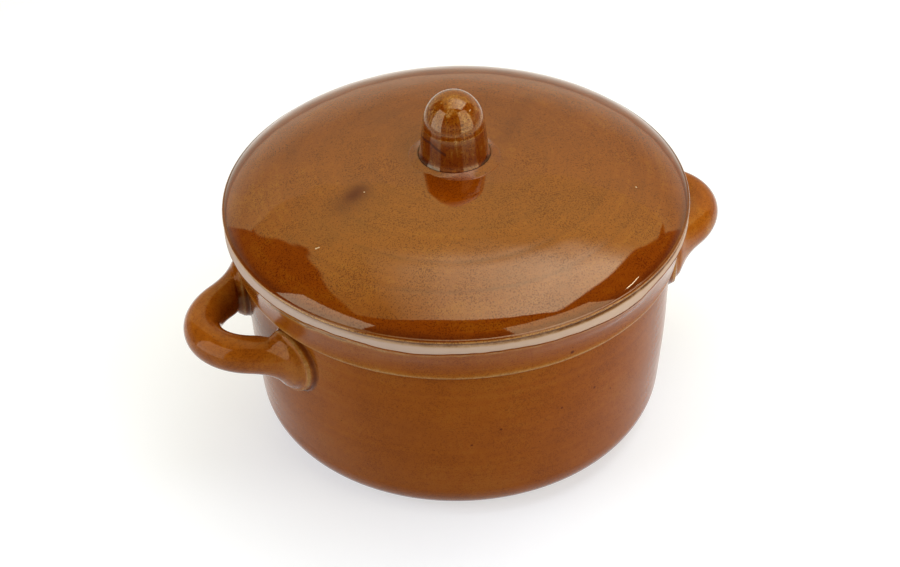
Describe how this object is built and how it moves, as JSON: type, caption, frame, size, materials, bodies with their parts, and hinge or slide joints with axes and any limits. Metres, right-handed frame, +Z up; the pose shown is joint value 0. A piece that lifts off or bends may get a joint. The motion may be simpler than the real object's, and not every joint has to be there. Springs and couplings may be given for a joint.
{
  "type": "covered cooking pot",
  "caption": "Round stoneware casserole with brown glaze, loop handles, a bare clay rim and a domed lid with a round-capped knob.",
  "frame": {"origin": "centre of the foot, on the surface that the pot stands on", "axes": "+Z up along the pot's axis, the two handles along X, the lid's knob on +Z"},
  "size_m": [0.261, 0.2092, 0.165],
  "materials": {
    "pot_glaze": "honey-brown glaze, semi-gloss, over cream stoneware, with a bare clay band under the rim",
    "handle_glaze": "honey-brown glaze, glossy, dark where it pools at the roots",
    "lid_glaze": "amber glaze, glossy, with fine iron specks, thin and tan along the edge",
    "slip": "pale grey-tan slip under thin glaze"
  },
  "bodies": {
    "pot": {"pot_body": "pot_glaze", "left_handle": "handle_glaze", "right_handle": "handle_glaze"},
    "cover": {"lid": "lid_glaze", "knob_slip_ring": "slip", "lid_knob": "lid_glaze"}
  },
  "joints": [
    {"name": "lid_lift", "type": "slide", "parent": "pot", "child": "cover", "axis": [0, 0, 1], "range_m": [0, 0.12]}
  ]
}
